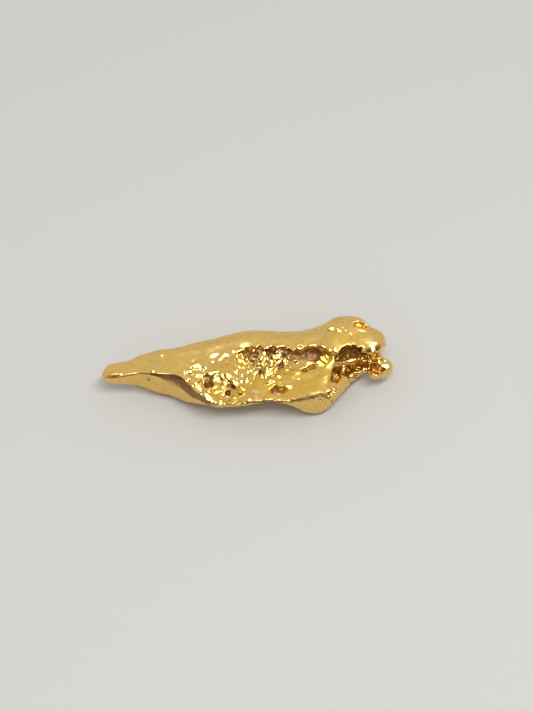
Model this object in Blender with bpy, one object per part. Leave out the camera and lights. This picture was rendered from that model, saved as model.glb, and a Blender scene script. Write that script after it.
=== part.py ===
"""A natural gold nugget, 15 mm long, lying on the worn underside of its belly.

The form is worked like clay. A grid holds, at each of its points, the distance to the surface,
below zero inside the metal. Sections along the length give the body, eggs and rods are added or
cut with soft seams, and the grid becomes a mesh at the end.

The detail is all on the side that faces front and up, so places are given on a drawing of that
side, made square to the direction `EYE`: `right` runs along the nugget from tail to head, and `up`
runs up the sheet. Lengths are in millimetres until the mesh is made.
"""

import math

import bpy
import numpy as np
import openvdb

MM = 0.001
LENGTH = 15.0  # tail to jaw
CELL = 0.1  # spacing of the clay's grid
TRIANGLES = 9400
WORN_LEVEL = 0.03  # whatever lies lower is worn flat
EYE_HEIGHT = math.radians(54.0)  # how far the drawing's line of sight is above the table

SIN, COS = math.sin(EYE_HEIGHT), math.cos(EYE_HEIGHT)
EYE = np.array([0.0, -COS, SIN])
UP = np.array([0.0, SIN, COS])
RIGHT = np.array([1.0, 0.0, 0.0])

BLOCK_LOW = (-7.9, -4.6, -0.3)
BLOCK_HIGH = (7.9, 2.6, 3.6)

# The body's sections: each line gives (right, value) points along the length.
BACK_OUTLINE = (
    (-7.6, -0.30), (-7.0, 0.03), (-6.0, 0.22), (-5.5, 0.46), (-4.5, 0.78), (-4.0, 0.79), (-3.0, 1.06),
    (-2.0, 1.28), (-1.5, 1.39), (-0.5, 1.69), (0.5, 1.79), (2.0, 1.70), (2.5, 1.71), (3.5, 1.89),
    (4.0, 2.10), (4.6, 2.30),
)
BACK_ROUNDING = ((-7.6, 0.30), (-6.0, 0.40), (-3.0, 0.70), (-1.0, 0.88), (2.5, 0.90), (4.0, 1.05))
TOP_TILT = ((-5.0, 2.0), (-2.0, 8.0))
RIDGE_LINE = (
    (-7.6, -0.60), (-7.0, -0.63), (-6.5, -0.60), (-5.5, -0.43), (-5.0, -0.46), (-4.0, -0.68), (-3.5, -0.86),
    (-3.0, -1.22), (-2.5, -1.60), (-2.0, -1.86), (-1.5, -1.97), (-0.5, -2.03), (0.0, -1.94), (1.0, -1.82),
    (1.5, -1.82), (2.0, -1.90), (3.0, -1.70), (3.5, -1.56), (4.0, -1.50),
)
RIDGE_HEIGHT = (
    (-7.6, 1.60), (-6.0, 1.80), (-4.5, 1.96), (-3.5, 1.96), (-2.5, 1.76), (-1.5, 1.62), (-0.5, 1.60),
    (0.5, 1.62), (2.0, 1.70), (3.0, 1.82), (4.0, 1.86), (4.6, 1.80),
)
RIDGE_CHAMFER = (
    (-7.6, 0.10), (-6.0, 0.12), (-5.0, 0.10), (-4.5, 0.24), (-4.0, 0.40), (-3.5, 0.60), (-3.2, 0.60),
    (-2.9, 0.52), (-2.5, 0.36), (-2.0, 0.20), (-0.5, 0.13), (1.2, 0.10), (2.0, 0.12), (3.0, 0.20),
    (3.5, 0.16), (3.9, 0.02), (4.6, 0.02),
)
UPPER_ROUNDING = ((-7.6, 0.16), (-6.4, 0.14), (-6.0, 0.06), (3.6, 0.06), (4.1, 0.16))
LOWER_ROUNDING = (
    (-4.8, 0.06), (-4.4, 0.12), (-3.8, 0.26), (-2.8, 0.26), (-2.0, 0.06), (3.6, 0.06), (4.1, 0.16),
)
FLANK_FOOT = (
    (-7.6, -0.95), (-7.0, -1.08), (-6.0, -1.06), (-5.5, -1.10), (-4.5, -1.53), (-3.5, -1.84), (-2.5, -1.96),
    (-1.5, -2.14), (-0.5, -2.10), (0.5, -1.97), (1.0, -1.89), (1.5, -1.89), (2.0, -2.02), (3.0, -2.48),
    (3.5, -2.59), (4.0, -2.36), (4.6, -1.80),
)
BELLY_HEIGHT = (
    (-7.6, 0.95), (-7.0, 0.85), (-6.0, 0.70), (-5.0, 0.35), (-4.0, 0.12), (-3.0, 0.02), (-2.0, -0.03),
    (3.8, -0.03), (4.6, 0.20),
)
BELLY_SET_BACK = 1.2  # from the ridge to where the belly starts
BELLY_MIDDLE = -1.45
BELLY_CURVE = 0.09  # rise of the underside, per square millimetre, away from its middle
SECTION_SMOOTHING = 0.12
TAIL_END = -7.52
CHEST_END = 4.50


def on_sheet(right, up, height):
    """The place that the drawing shows at (right, up), when it lies this high above the table."""
    return np.array([right, (up - height * COS) / SIN, height])


def soft_min(a, b, seam):
    h = np.maximum(seam - np.abs(a - b), 0.0) / seam
    return np.minimum(a, b) - h * h * seam * 0.25


def soft_max(a, b, seam):
    return -soft_min(-a, -b, seam)


def turned_axes(turn=0.0, lean=0.0):
    """Axes along the sheet and towards the eye. lean tips the last one back under what is above it."""
    t, b = math.radians(turn), math.radians(lean)
    up = UP * math.cos(b) + EYE * math.sin(b)
    eye = EYE * math.cos(b) - UP * math.sin(b)
    return np.stack([RIGHT * math.cos(t) + up * math.sin(t), up * math.cos(t) - RIGHT * math.sin(t), eye], 1)


class Clay:
    """A block of distances, on which forms are added and cut."""

    def __init__(self, low, high, cell):
        self.cell = cell
        self.low = np.array(low)
        count = np.ceil((np.array(high) - self.low) / cell).astype(int) + 1
        self.axes = [self.low[i] + cell * np.arange(count[i]) for i in range(3)]
        self.depth = np.full(count, 9.0, np.float32)

    def places(self):
        return np.meshgrid(*[axis.astype(np.float32) for axis in self.axes], indexing="ij", sparse=True)

    def work(self, distance, low, high, how, seam):
        """Adds or cuts the form whose distance is given, inside the box from low to high."""
        box = tuple(
            slice(*np.searchsorted(axis, (a, b))) for axis, a, b in zip(self.axes, low, high)
        )
        if min(self.depth[box].shape) == 0:
            return
        near = [axis[part].astype(np.float32) for axis, part in zip(self.axes, box)]
        form = distance(*np.meshgrid(*near, indexing="ij", sparse=True))
        if how == "add":
            self.depth[box] = soft_min(self.depth[box], form, seam)
        else:
            self.depth[box] = soft_max(self.depth[box], -form, seam)

    def egg(self, middle, half, how="add", seam=0.2, axes=None):
        """An egg with these half sizes along its axes."""
        axes = np.eye(3) if axes is None else axes
        half = np.array(half, float)
        reach = np.abs(axes) @ half + seam + 3 * self.cell

        def distance(x, y, z):
            gap = (x - middle[0], y - middle[1], z - middle[2])
            along = [sum(axes[j, i] * gap[j] for j in range(3)) for i in range(3)]
            near = np.sqrt(sum((along[i] / half[i]) ** 2 for i in range(3)))
            slope = np.sqrt(sum((along[i] / half[i] ** 2) ** 2 for i in range(3)))
            return (near * (near - 1.0) / np.maximum(slope, 1e-6)).astype(np.float32)

        self.work(distance, middle - reach, middle + reach, how, seam)

    def rods(self, points, how="add", seam=0.15):
        """A chain of tapering round rods through (x, y, z, radius)."""
        points = np.array(points, float)
        for a, b in zip(points[:-1], points[1:]):
            margin = max(a[3], b[3]) + seam + 3 * self.cell

            def distance(x, y, z, a=a, b=b):
                run = b[:3] - a[:3]
                share = ((x - a[0]) * run[0] + (y - a[1]) * run[1] + (z - a[2]) * run[2]) / (run @ run)
                share = np.clip(share, 0, 1)
                gap = [v - a[i] - share * run[i] for i, v in enumerate((x, y, z))]
                return (np.sqrt(sum(g * g for g in gap)) - a[3] - share * (b[3] - a[3])).astype(np.float32)

            self.work(distance, np.minimum(a, b)[:3] - margin, np.maximum(a, b)[:3] + margin, how, seam)

    def spot(self, right, up):
        """Where the line of sight at (right, up) meets the surface."""
        steps = np.arange(4.0, -4.0, -0.5 * self.cell)
        line = on_sheet(right, up, 1.5) + steps[:, None] * EYE
        nearest = np.rint((line - self.low) / self.cell).astype(int)
        nearest = np.clip(nearest, 0, np.array(self.depth.shape) - 1)
        depth = self.depth[tuple(nearest.T)]
        hit = int(np.argmax(depth < 0))
        return line[hit] - EYE * float(depth[hit])

    def hollow(self, right, up, half, deep, seam=0.1, turn=0.0, lean=0.0):
        """Cuts an egg that is centred on the surface."""
        self.egg(self.spot(right, up), (*half, deep), "cut", seam, turned_axes(turn, lean))

    def recess(self, right, up, half, deep, seam=0.1, turn=0.0):
        """Cuts an egg back under its own upper rim, which stays where it is."""
        rim = self.spot(right, up + half[1])
        middle = RIGHT * right + UP * up + EYE * (rim @ EYE)
        self.egg(middle, (*half, deep), "cut", seam, turned_axes(turn))

    def press(self, right, up, half, deep, fade=0.3, turn=0.0):
        """Pushes an oval of the upper side in, without an edge."""
        upper = np.clip(4.0 * (self.places()[2] - 0.5), 0, 1)
        self.depth += deep * self.patch(right, up, half, fade, turn) * upper

    def bead(self, right, up, half, lift=0.3, turn=0.0):
        """Adds a small egg that stands out of the surface by the share lift of its depth."""
        deep = min(half)
        middle = self.spot(right, up) + EYE * deep * (lift - 1.0)
        self.egg(middle, (*half, deep), "add", 0.06, turned_axes(turn))

    def edge(self, points, lift=0.5, how="add", seam=0.08):
        """Raises or sinks a line over the surface, through (right, up, radius)."""
        points = np.array(points, float)
        places = np.concatenate([[0], np.cumsum(np.hypot(*np.diff(points[:, :2], axis=0).T))])
        along = np.linspace(0, places[-1], max(2, int(places[-1] / 0.15)))
        run = np.stack([np.interp(along, places, points[:, i]) for i in range(3)], 1)
        sink = lift - 1.0 if how == "add" else 1.0 - lift
        self.rods([(*(self.spot(r, u) + EYE * size * sink), size) for r, u, size in run], how, seam)

    def swell(self, size, seed):
        """Smooth random values from about -1 to 1, with swells of this size."""
        counts = [int((axis[-1] - axis[0]) / size) + 5 for axis in self.axes]
        values = np.random.default_rng(seed).uniform(-2.2, 2.2, counts).astype(np.float32)
        for i, axis in enumerate(self.axes):
            at = (axis - axis[0]) / size
            first = np.floor(at).astype(int)
            f = at - first
            spline = ((1 - f) ** 3, 3 * f**3 - 6 * f**2 + 4, 1 + 3 * f + 3 * f**2 - 3 * f**3, f**3)
            weights = np.zeros((len(at), counts[i]), np.float32)
            for step, share in enumerate(spline):
                weights[np.arange(len(at)), first + step] = share / 6
            values = np.moveaxis(np.tensordot(weights, values, (1, i)), 0, i)
        return values

    def patch(self, right, up, half, fade=0.3, turn=0.0):
        """1 inside an oval of the sheet, falling to 0 around its rim."""
        x, y, z = self.places()
        t = math.radians(turn)
        across, above = x - right, y * SIN + z * COS - up
        a = (across * math.cos(t) + above * math.sin(t)) / half[0]
        b = (above * math.cos(t) - across * math.sin(t)) / half[1]
        inside = np.clip((1.0 + fade - np.sqrt(a * a + b * b)) / (2 * fade), 0, 1)
        return inside * inside * (3 - 2 * inside)


def section(clay, points):
    """A section value all along the clay, with the corners of its line rounded."""
    points = np.array(points)
    fine = np.arange(-9.0, 9.0, 0.02)
    reach = np.arange(-30, 31)
    weights = np.exp(-0.5 * (reach * 0.02 / SECTION_SMOOTHING) ** 2)
    line = np.interp(fine, points[:, 0], points[:, 1])
    line = np.convolve(np.pad(line, 30, mode="edge"), weights / weights.sum(), mode="valid")
    return np.interp(clay.axes[0], fine, line)[:, None, None].astype(np.float32)


def model_body(clay):
    """Top plane, chamfered ridge, front flank, belly and rounded back, from the section lines."""
    x, y, z = clay.places()
    ridge_z = section(clay, RIDGE_HEIGHT)
    ridge_y = (section(clay, RIDGE_LINE) - ridge_z * COS) / SIN
    foot_z = (section(clay, FLANK_FOOT) - ridge_y * SIN) / COS
    tilt = np.radians(section(clay, TOP_TILT))
    radius = section(clay, BACK_ROUNDING)
    # The back's circle touches the top plane and the outline.
    outline = section(clay, BACK_OUTLINE) - radius
    plane = -radius - np.sin(tilt) * ridge_y + np.cos(tilt) * ridge_z
    share = SIN * np.cos(tilt) + COS * np.sin(tilt)
    back_y = (outline * np.cos(tilt) - COS * plane) / share
    back_z = (SIN * plane + np.sin(tilt) * outline) / share

    top = np.cos(tilt) * (z - ridge_z) - np.sin(tilt) * (y - ridge_y)
    flank = ridge_y - y
    chamfer = (top + flank) * math.sqrt(0.5) + 0.5 * section(clay, RIDGE_CHAMFER)
    belly = section(clay, BELLY_HEIGHT)
    rise = (foot_z - belly) / BELLY_SET_BACK
    under = (foot_z - z - rise * (y - ridge_y)) / np.sqrt(1 + rise * rise)
    bottom = belly + BELLY_CURVE * (y - BELLY_MIDDLE) ** 2 - z
    front = soft_max(top, chamfer, section(clay, UPPER_ROUNDING))
    front = soft_max(front, flank, section(clay, LOWER_ROUNDING))
    front = soft_max(soft_max(front, soft_max(under, bottom, 0.5), 0.15), y - back_y, 0.05)
    back = soft_max(np.sqrt((y - back_y) ** 2 + (z - back_z) ** 2) - radius, bottom, 0.4)
    lean = 0.9 * (y - back_y - radius) + 0.45 * (back_z - z)
    rump = soft_max(soft_max(lean, bottom, 0.4), np.maximum(z - back_z, back_y - 0.2 - y), 0.02)

    body = soft_min(soft_min(front, back, 0.05), rump, 0.3)
    body = soft_max(body, TAIL_END - x, 0.55)
    clay.depth = soft_max(body, 0.9 * (x - CHEST_END) - 0.35 * (y + 2.2), 0.8)
    clay.egg(np.array([3.35, -2.95, 0.95]), (0.90, 0.42, 0.75), seam=0.4)  # the flank's swelling


def model_head(clay):
    """The head's broad dome with its flat crown, and the snout."""
    dome = Clay(BLOCK_LOW, BLOCK_HIGH, clay.cell)
    dome.egg(np.array([4.90, 0.12, 1.72]), (1.10, 1.45, 1.20), seam=0.3)
    dome.egg(np.array([5.45, 0.11, 1.72]), (0.98, 1.47, 1.18), seam=0.3)
    dome.egg(np.array([6.28, -0.02, 1.85]), (0.82, 0.85, 0.72), seam=0.3)
    x, y, z = clay.places()
    crown_tilt = math.radians(9.0)
    crown = math.cos(crown_tilt) * (z - 2.62) - math.sin(crown_tilt) * y
    clay.depth = soft_min(clay.depth, soft_max(dome.depth, crown + 0 * x, 0.25), 0.45)


def model_jaw(clay):
    """The bar that hangs from the snout, the knob at its foot, its bowl and the notch above it."""
    axes = turned_axes()
    clay.rods([(*on_sheet(6.60, 1.0, 1.9), 0.34), (*on_sheet(6.64, 0.60, 1.6), 0.20),
               (*on_sheet(6.72, 0.10, 1.35), 0.26)], seam=0.2)
    clay.egg(on_sheet(6.88, -0.13, 1.25), (0.57, 0.49, 0.50), "add", 0.12, axes)
    clay.egg(on_sheet(6.52, -0.28, 1.15), (0.40, 0.42, 0.40), "add", 0.12, axes)
    clay.egg(on_sheet(6.30, 0.45, 1.30), (0.36, 0.50, 0.35), "add", 0.2, axes)
    clay.egg(on_sheet(6.45, -0.22, 1.50), (0.38, 0.30, 0.45), "cut", 0.06, turned_axes(-15))
    clay.egg(on_sheet(7.10, 0.64, 1.60), (0.28, 0.30, 2.50), "cut", 0.06, axes)
    clay.egg(on_sheet(6.50, 1.02, 2.18), (0.42, 0.28, 0.22), "add", 0.10, turned_axes(25, -10))


def model_neck(clay):
    """The low metal behind the jaw, with its web, its three hollows and the strands between them."""
    clay.egg(on_sheet(5.0, 0.2, 0.85), (1.1, 1.0, 0.5), seam=0.3)
    clay.rods([(*on_sheet(4.1, -1.48, 1.30), 0.44), (*on_sheet(4.72, -0.85, 1.1), 0.40),
               (*on_sheet(5.2, -0.46, 1.05), 0.32), (*on_sheet(5.6, -0.22, 1.05), 0.25),
               (*on_sheet(6.15, -0.05, 1.1), 0.22)], seam=0.2)
    # The big hollow runs back under the head.
    clay.egg(np.array([5.25, -0.85, 1.60]), (1.06, 0.95, 0.94), "cut", 0.1)
    clay.egg(on_sheet(5.45, -0.15, 1.25), (0.62, 0.20, 0.50), "cut", 0.08, turned_axes(14))
    clay.egg(on_sheet(4.50, -0.52, 1.60), (0.27, 0.55, 0.60), "cut", 0.1, turned_axes(-20))
    # One strand bounds it below and curls round a bead, and another parts the two small hollows.
    clay.rods([(*on_sheet(4.3, 0.05, 1.75), 0.20), (*on_sheet(4.9, 0.08, 1.5), 0.17),
               (*on_sheet(5.4, 0.20, 1.5), 0.16), (*on_sheet(5.75, 0.42, 1.5), 0.14),
               (*on_sheet(6.1, 0.46, 1.5), 0.13), (*on_sheet(6.3, 0.28, 1.45), 0.12),
               (*on_sheet(6.28, 0.05, 1.4), 0.12)], seam=0.08)
    # A thin rim stands along the web, below the small hollows.
    clay.rods([(*on_sheet(4.90, -0.68, 1.15), 0.12), (*on_sheet(5.30, -0.52, 1.1), 0.10),
               (*on_sheet(5.70, -0.36, 1.1), 0.09), (*on_sheet(6.10, -0.22, 1.15), 0.09)], seam=0.08)
    clay.egg(on_sheet(5.95, 0.22, 1.35), (0.20, 0.18, 0.20), "add", 0.05, turned_axes())
    clay.rods([(*on_sheet(4.95, -0.05, 1.5), 0.10), (*on_sheet(4.8, -0.5, 1.4), 0.10),
               (*on_sheet(4.75, -0.9, 1.3), 0.14)], seam=0.08)
    # The groove beside the jaw's bar and knob.
    groove = [(6.44, 0.50, 0.08), (6.38, 0.10, 0.10), (6.45, -0.25, 0.14), (6.80, -0.42, 0.08)]
    clay.edge(groove, 0.5, "cut", 0.06)


def model_right_cavity(clay):
    """The long hollow below the back: an open valley, the wall cut back under the rim, spur and peaks."""
    clay.press(2.90, 0.22, (1.05, 0.45), 0.06, 0.40, turn=3)
    clay.press(1.15, 0.02, (1.30, 0.58), 0.13, 0.40)
    clay.recess(2.98, 0.48, (0.84, 0.46), 0.40, turn=4)
    clay.recess(2.25, 0.46, (0.36, 0.28), 0.30)
    clay.recess(1.75, 0.64, (0.46, 0.27), 0.28)
    clay.recess(1.15, 0.64, (0.44, 0.27), 0.28)
    clay.recess(0.62, 0.68, (0.36, 0.26), 0.22)
    clay.recess(0.18, 0.60, (0.30, 0.28), 0.14)
    clay.hollow(3.80, 0.34, (0.46, 0.50), 0.22, 0.10, turn=-20)
    clay.edge([(0.05, 0.05, 0.10), (0.50, 0.28, 0.12), (0.95, 0.42, 0.07)], lift=0.9)
    peaks = (
        (0.85, 0.25, 0.12, 0.17), (0.50, -0.02, 0.14, 0.12), (0.35, -0.62, 0.14, 0.12),
        (0.98, -0.30, 0.13, 0.36), (1.40, 0.35, 0.14, 0.16), (1.62, 0.42, 0.11, 0.13),
        (1.88, 0.22, 0.12, 0.17), (2.45, 0.18, 0.15, 0.12),
    )
    for right, up, wide, tall in peaks:
        clay.bead(right, up, (wide, tall), lift=0.7)
    pits = (
        (0.68, 0.12, 0.12, 0.16), (0.70, -0.30, 0.12, 0.22), (1.15, 0.40, 0.12, 0.16),
        (1.72, 0.05, 0.12, 0.26), (1.42, -0.20, 0.24, 0.10), (2.90, -0.23, 0.18, 0.10),
        (3.25, -0.10, 0.16, 0.10),
    )
    for right, up, wide, tall in pits:
        clay.hollow(right, up, (wide, tall), 0.2, 0.06)
    # A ringed bead and a raised lip on the upper rim.
    clay.bead(2.66, 0.88, (0.27, 0.23), lift=0.6)
    clay.hollow(2.66, 0.92, (0.13, 0.10), 0.12, 0.05)
    lip = [(2.98, 0.88, 0.06), (3.2, 0.99, 0.09), (3.5, 1.03, 0.09), (3.75, 0.93, 0.08), (4.15, 0.78, 0.06)]
    clay.edge(lip)


def model_plateau(clay):
    """The smooth shelf in front of the cavity: a pit with a lump in it, and a shallow dent."""
    clay.hollow(1.55, -1.26, (0.46, 0.36), 0.17, 0.05, turn=-5, lean=25)
    clay.hollow(1.40, -1.28, (0.14, 0.26), 0.10, 0.05, turn=-14)
    clay.bead(1.74, -1.26, (0.20, 0.13), lift=0.5, turn=10)
    clay.press(3.20, -0.45, (1.10, 0.30), 0.05, 0.35, turn=18)


def model_left_pocket(clay):
    """The scalloped shelf, and the pocket below it with its holes and a rounded lump."""
    scallops = (
        (-1.66, 0.26, (0.36, 0.22), 33), (-1.66, -0.04, (0.36, 0.20), 24), (-1.08, 0.24, (0.36, 0.24), 27),
        (-0.58, 0.58, (0.20, 0.20), 30), (-0.15, 0.62, (0.26, 0.22), 12),
    )
    for right, up, half, turn in scallops:
        clay.press(right, up, half, 0.045, 0.09 / half[1], turn)
    clay.press(-0.05, -0.20, (0.55, 1.10), 0.10, 0.30)
    clay.press(-1.20, -1.22, (1.10, 0.62), 0.18, 0.42, turn=-18)
    clay.press(-2.45, -0.70, (0.50, 0.60), 0.10, 0.35, turn=40)
    clay.hollow(-1.00, -1.05, (0.60, 0.10), 0.10, 0.05, turn=-14, lean=25)
    clay.hollow(-1.95, -0.98, (0.22, 0.18), 0.22, 0.05, turn=-20)
    clay.hollow(-1.90, -0.74, (0.10, 0.12), 0.18, 0.05)
    clay.hollow(-1.00, -1.45, (0.18, 0.13), 0.3, 0.05, turn=-20)
    clay.bead(-0.42, -1.50, (0.36, 0.30), lift=0.4, turn=-20)


def model_head_marks(clay):
    """The lidded hollow on the crown, and the small folds at the head's left."""
    clay.hollow(5.68, 2.06, (0.36, 0.13), 0.14, 0.05, turn=-12)
    clay.hollow(5.98, 1.98, (0.16, 0.10), 0.18, 0.05, turn=-25)
    clay.edge([(5.30, 2.08, 0.05), (5.52, 2.23, 0.07), (5.85, 2.19, 0.08), (6.20, 1.95, 0.05)])
    clay.edge([(4.06, 1.80, 0.05), (4.30, 1.86, 0.07), (4.55, 1.84, 0.05)])
    clay.edge([(4.50, 1.84, 0.05), (4.62, 1.78, 0.06), (4.76, 1.70, 0.05)])


def model_tail_marks(clay):
    """The beads on the tail's ridge and top, and the pit on its flank."""
    clay.bead(-4.82, -0.32, (0.10, 0.10))
    clay.hollow(-5.02, -0.76, (0.16, 0.10), 0.10, 0.06, turn=-30)
    clay.bead(-4.40, 0.50, (0.12, 0.08), lift=0.5)


def roughen(clay):
    """Lumps with creases between them in the hollows, and slow swells over the rest."""
    rough = clay.patch(1.05, 0.05, (1.15, 0.95), 0.25)
    rough += 0.7 * clay.patch(-2.75, -0.50, (0.65, 0.55), turn=-40)
    rough += 0.7 * clay.patch(-1.15, -1.35, (1.40, 0.55), 0.25, turn=-16)
    rough += 0.5 * clay.patch(-0.10, -0.35, (0.40, 1.10), 0.4, turn=6)
    rough += 0.5 * clay.patch(5.00, -0.95, (1.30, 0.38), turn=47)
    height = clay.places()[2]
    rough = np.clip(rough, 0, 1) * np.clip(3.0 * (height - 0.8), 0, 1)
    lumps = np.abs(clay.swell(0.26, 3)) - 0.45
    clay.depth -= 0.16 * rough * lumps
    clay.depth -= 0.02 * clay.swell(0.6, 5)
    below = np.clip(1.6 - height, 0, 1)
    clay.depth -= below * (0.09 * clay.swell(1.1, 8) + 0.04 * clay.swell(0.5, 9))


def wear_base(clay):
    """Levels whatever would reach below the table."""
    clay.depth = np.maximum(clay.depth, -clay.places()[2])


def largest_piece(points, quads):
    """Leaves out the crumbs and bubbles that are not joined to the nugget's own surface."""
    piece = np.arange(len(points))
    while True:
        joined = piece.copy()
        np.minimum.at(joined, quads.ravel(), np.repeat(piece[quads].min(axis=1), 4))
        joined = joined[joined]
        if np.array_equal(joined, piece):
            break
        piece = joined
    own = quads[piece[quads[:, 0]] == np.bincount(piece).argmax()]
    used, renumbered = np.unique(own, return_inverse=True)
    return points[used], renumbered.reshape(own.shape)


def make_mesh(clay):
    grid = openvdb.FloatGrid(9.0)
    grid.copyFromArray(np.ascontiguousarray(clay.depth))
    points, quads = largest_piece(*grid.convertToQuads(0.0))
    mesh = bpy.data.meshes.new("nugget")
    mesh.from_pydata((points * clay.cell + clay.low).tolist(), [], quads.tolist())
    return mesh


def thin_mesh(rough_mesh, triangles):
    """The same form with fewer triangles: small ones stay where the surface is busy."""
    carrier = bpy.data.objects.new("thinning", rough_mesh)
    bpy.context.scene.collection.objects.link(carrier)
    decimate = carrier.modifiers.new("Decimate", "DECIMATE")
    decimate.ratio = triangles / (2 * len(rough_mesh.polygons))
    decimate.use_collapse_triangulate = True
    mesh = bpy.data.meshes.new_from_object(carrier.evaluated_get(bpy.context.evaluated_depsgraph_get()))
    bpy.data.objects.remove(carrier)
    bpy.data.meshes.remove(rough_mesh)
    mesh.name = "nugget"
    return mesh


def stand_at_origin(mesh):
    """Levels the worn base, centres the nugget over the origin and brings it to its real size."""
    count = len(mesh.vertices)
    places = np.empty(count * 3, np.float32)
    mesh.vertices.foreach_get("co", places)
    places = places.reshape(count, 3)
    places[places[:, 2] < WORN_LEVEL, 2] = 0.0
    low, high = places.min(axis=0), places.max(axis=0)
    places -= ((low[0] + high[0]) / 2, (low[1] + high[1]) / 2, 0.0)
    places *= MM * LENGTH / (high[0] - low[0])
    mesh.vertices.foreach_set("co", places.ravel())
    mesh.update()


def gold():
    material = bpy.data.materials.new("native gold")
    material.use_nodes = True
    shader = material.node_tree.nodes["Principled BSDF"]
    shader.inputs["Base Color"].default_value = (0.93, 0.60, 0.17, 1.0)
    shader.inputs["Metallic"].default_value = 1.0
    shader.inputs["Roughness"].default_value = 0.3
    return material


def main():
    for old in list(bpy.data.objects):
        bpy.data.objects.remove(old)
    clay = Clay(BLOCK_LOW, BLOCK_HIGH, CELL)
    model_body(clay)
    model_head(clay)
    model_jaw(clay)
    model_neck(clay)
    model_right_cavity(clay)
    model_plateau(clay)
    model_left_pocket(clay)
    model_head_marks(clay)
    model_tail_marks(clay)
    roughen(clay)
    wear_base(clay)

    mesh = thin_mesh(make_mesh(clay), TRIANGLES)
    stand_at_origin(mesh)
    mesh.shade_smooth()
    mesh.materials.append(gold())
    nugget = bpy.data.objects.new("nugget", mesh)
    collection = bpy.data.collections.new("gold nugget")
    bpy.context.scene.collection.children.link(collection)
    collection.objects.link(nugget)


main()
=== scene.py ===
# A natural gold nugget, 15 mm long, on a pale studio table.
# The nugget is worked like clay: a grid holds the distance to the surface, forms are added and cut
# with soft seams, and the grid becomes a mesh. Places are given on a drawing of its front and upper
# side: right along the nugget, up the sheet, in millimetres. Fine relief is grown over the mesh.
import math
import bpy
import numpy as np
import openvdb
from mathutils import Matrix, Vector


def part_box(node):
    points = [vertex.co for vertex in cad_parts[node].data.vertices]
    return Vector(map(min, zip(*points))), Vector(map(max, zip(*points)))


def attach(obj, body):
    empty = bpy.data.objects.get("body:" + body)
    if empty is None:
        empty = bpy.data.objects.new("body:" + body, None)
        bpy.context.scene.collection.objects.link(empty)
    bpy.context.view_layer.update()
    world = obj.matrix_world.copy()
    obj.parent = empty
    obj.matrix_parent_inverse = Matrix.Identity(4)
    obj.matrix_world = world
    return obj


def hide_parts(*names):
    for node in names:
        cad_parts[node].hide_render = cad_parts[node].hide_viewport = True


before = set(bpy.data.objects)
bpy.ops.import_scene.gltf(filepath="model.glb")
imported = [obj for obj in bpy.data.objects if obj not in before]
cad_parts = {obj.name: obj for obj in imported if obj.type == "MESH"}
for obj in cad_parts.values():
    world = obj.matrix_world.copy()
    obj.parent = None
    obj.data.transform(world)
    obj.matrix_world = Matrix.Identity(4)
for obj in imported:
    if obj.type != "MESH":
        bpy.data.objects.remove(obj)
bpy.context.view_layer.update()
mm = 0.001

view = {
    "elevation": 54.0,  # degrees above the table
    "lens": 91.5,
    "distance": 93.5,  # from the nugget, in mm
    "aim": (0.957, 0.471, 1.5),  # right, up and height of what the camera looks at
}

block = {
    "low": (-7.9, -4.6, -0.3),
    "high": (7.9, 2.6, 3.6),
    "cell": 0.05,
    "farAway": 9.0,  # the distance that an empty cell holds
    "wornLevel": 0.03,  # whatever lies lower is worn flat
}

tilt = math.radians(view["elevation"])
sinTilt, cosTilt = math.sin(tilt), math.cos(tilt)
towardsEye = np.array([0.0, -cosTilt, sinTilt])
upSheet = np.array([0.0, sinTilt, cosTilt])
alongRight = np.array([1.0, 0.0, 0.0])
glint = math.radians(64.0)  # a face at this slope shows the overhead light
towardsGlint = np.array([0.0, -math.cos(glint), math.sin(glint)])


def onSheet(right, up, height):  # the place that shows at (right, up) and lies at this height
    return np.array([right, (up - height * cosTilt) / sinTilt, height])


def turnedAxes(turn=0.0, lean=0.0):  # lean tips the hollow back under what is above it
    t, b = math.radians(turn), math.radians(lean)
    up = upSheet * math.cos(b) + towardsEye * math.sin(b)
    eye = towardsEye * math.cos(b) - upSheet * math.sin(b)
    across = alongRight * math.cos(t) + up * math.sin(t)
    return np.stack([across, up * math.cos(t) - alongRight * math.sin(t), eye], 1)


def ovalOnSheet(x, y, z, right, up, half, fade=0.3, turn=0.0):  # 1 inside, 0 outside
    t = math.radians(turn)
    across, above = x - right, y * sinTilt + z * cosTilt - up
    a = (across * math.cos(t) + above * math.sin(t)) / half[0]
    b = (above * math.cos(t) - across * math.sin(t)) / half[1]
    inside = np.clip((1.0 + fade - np.sqrt(a * a + b * b)) / (2 * fade), 0, 1)
    return inside * inside * (3 - 2 * inside)


def upperSide(z):  # 0 below half a millimetre, 1 a quarter higher
    return np.clip(4.0 * (z - 0.5), 0, 1)


def softMin(a, b, seam):
    h = np.maximum(seam - np.abs(a - b), 0.0) / seam
    return np.minimum(a, b) - h * h * seam * 0.25


def softMax(a, b, seam):
    return -softMin(-a, -b, seam)


def eggDistance(gap, half, axes):
    along = [sum(axes[j, i] * gap[j] for j in range(3)) for i in range(3)]
    near = np.sqrt(sum((along[i] / half[i]) ** 2 for i in range(3)))
    slope = np.sqrt(sum((along[i] / half[i] ** 2) ** 2 for i in range(3)))
    return (near * (near - 1.0) / np.maximum(slope, 1e-6)).astype(np.float32)


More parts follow.
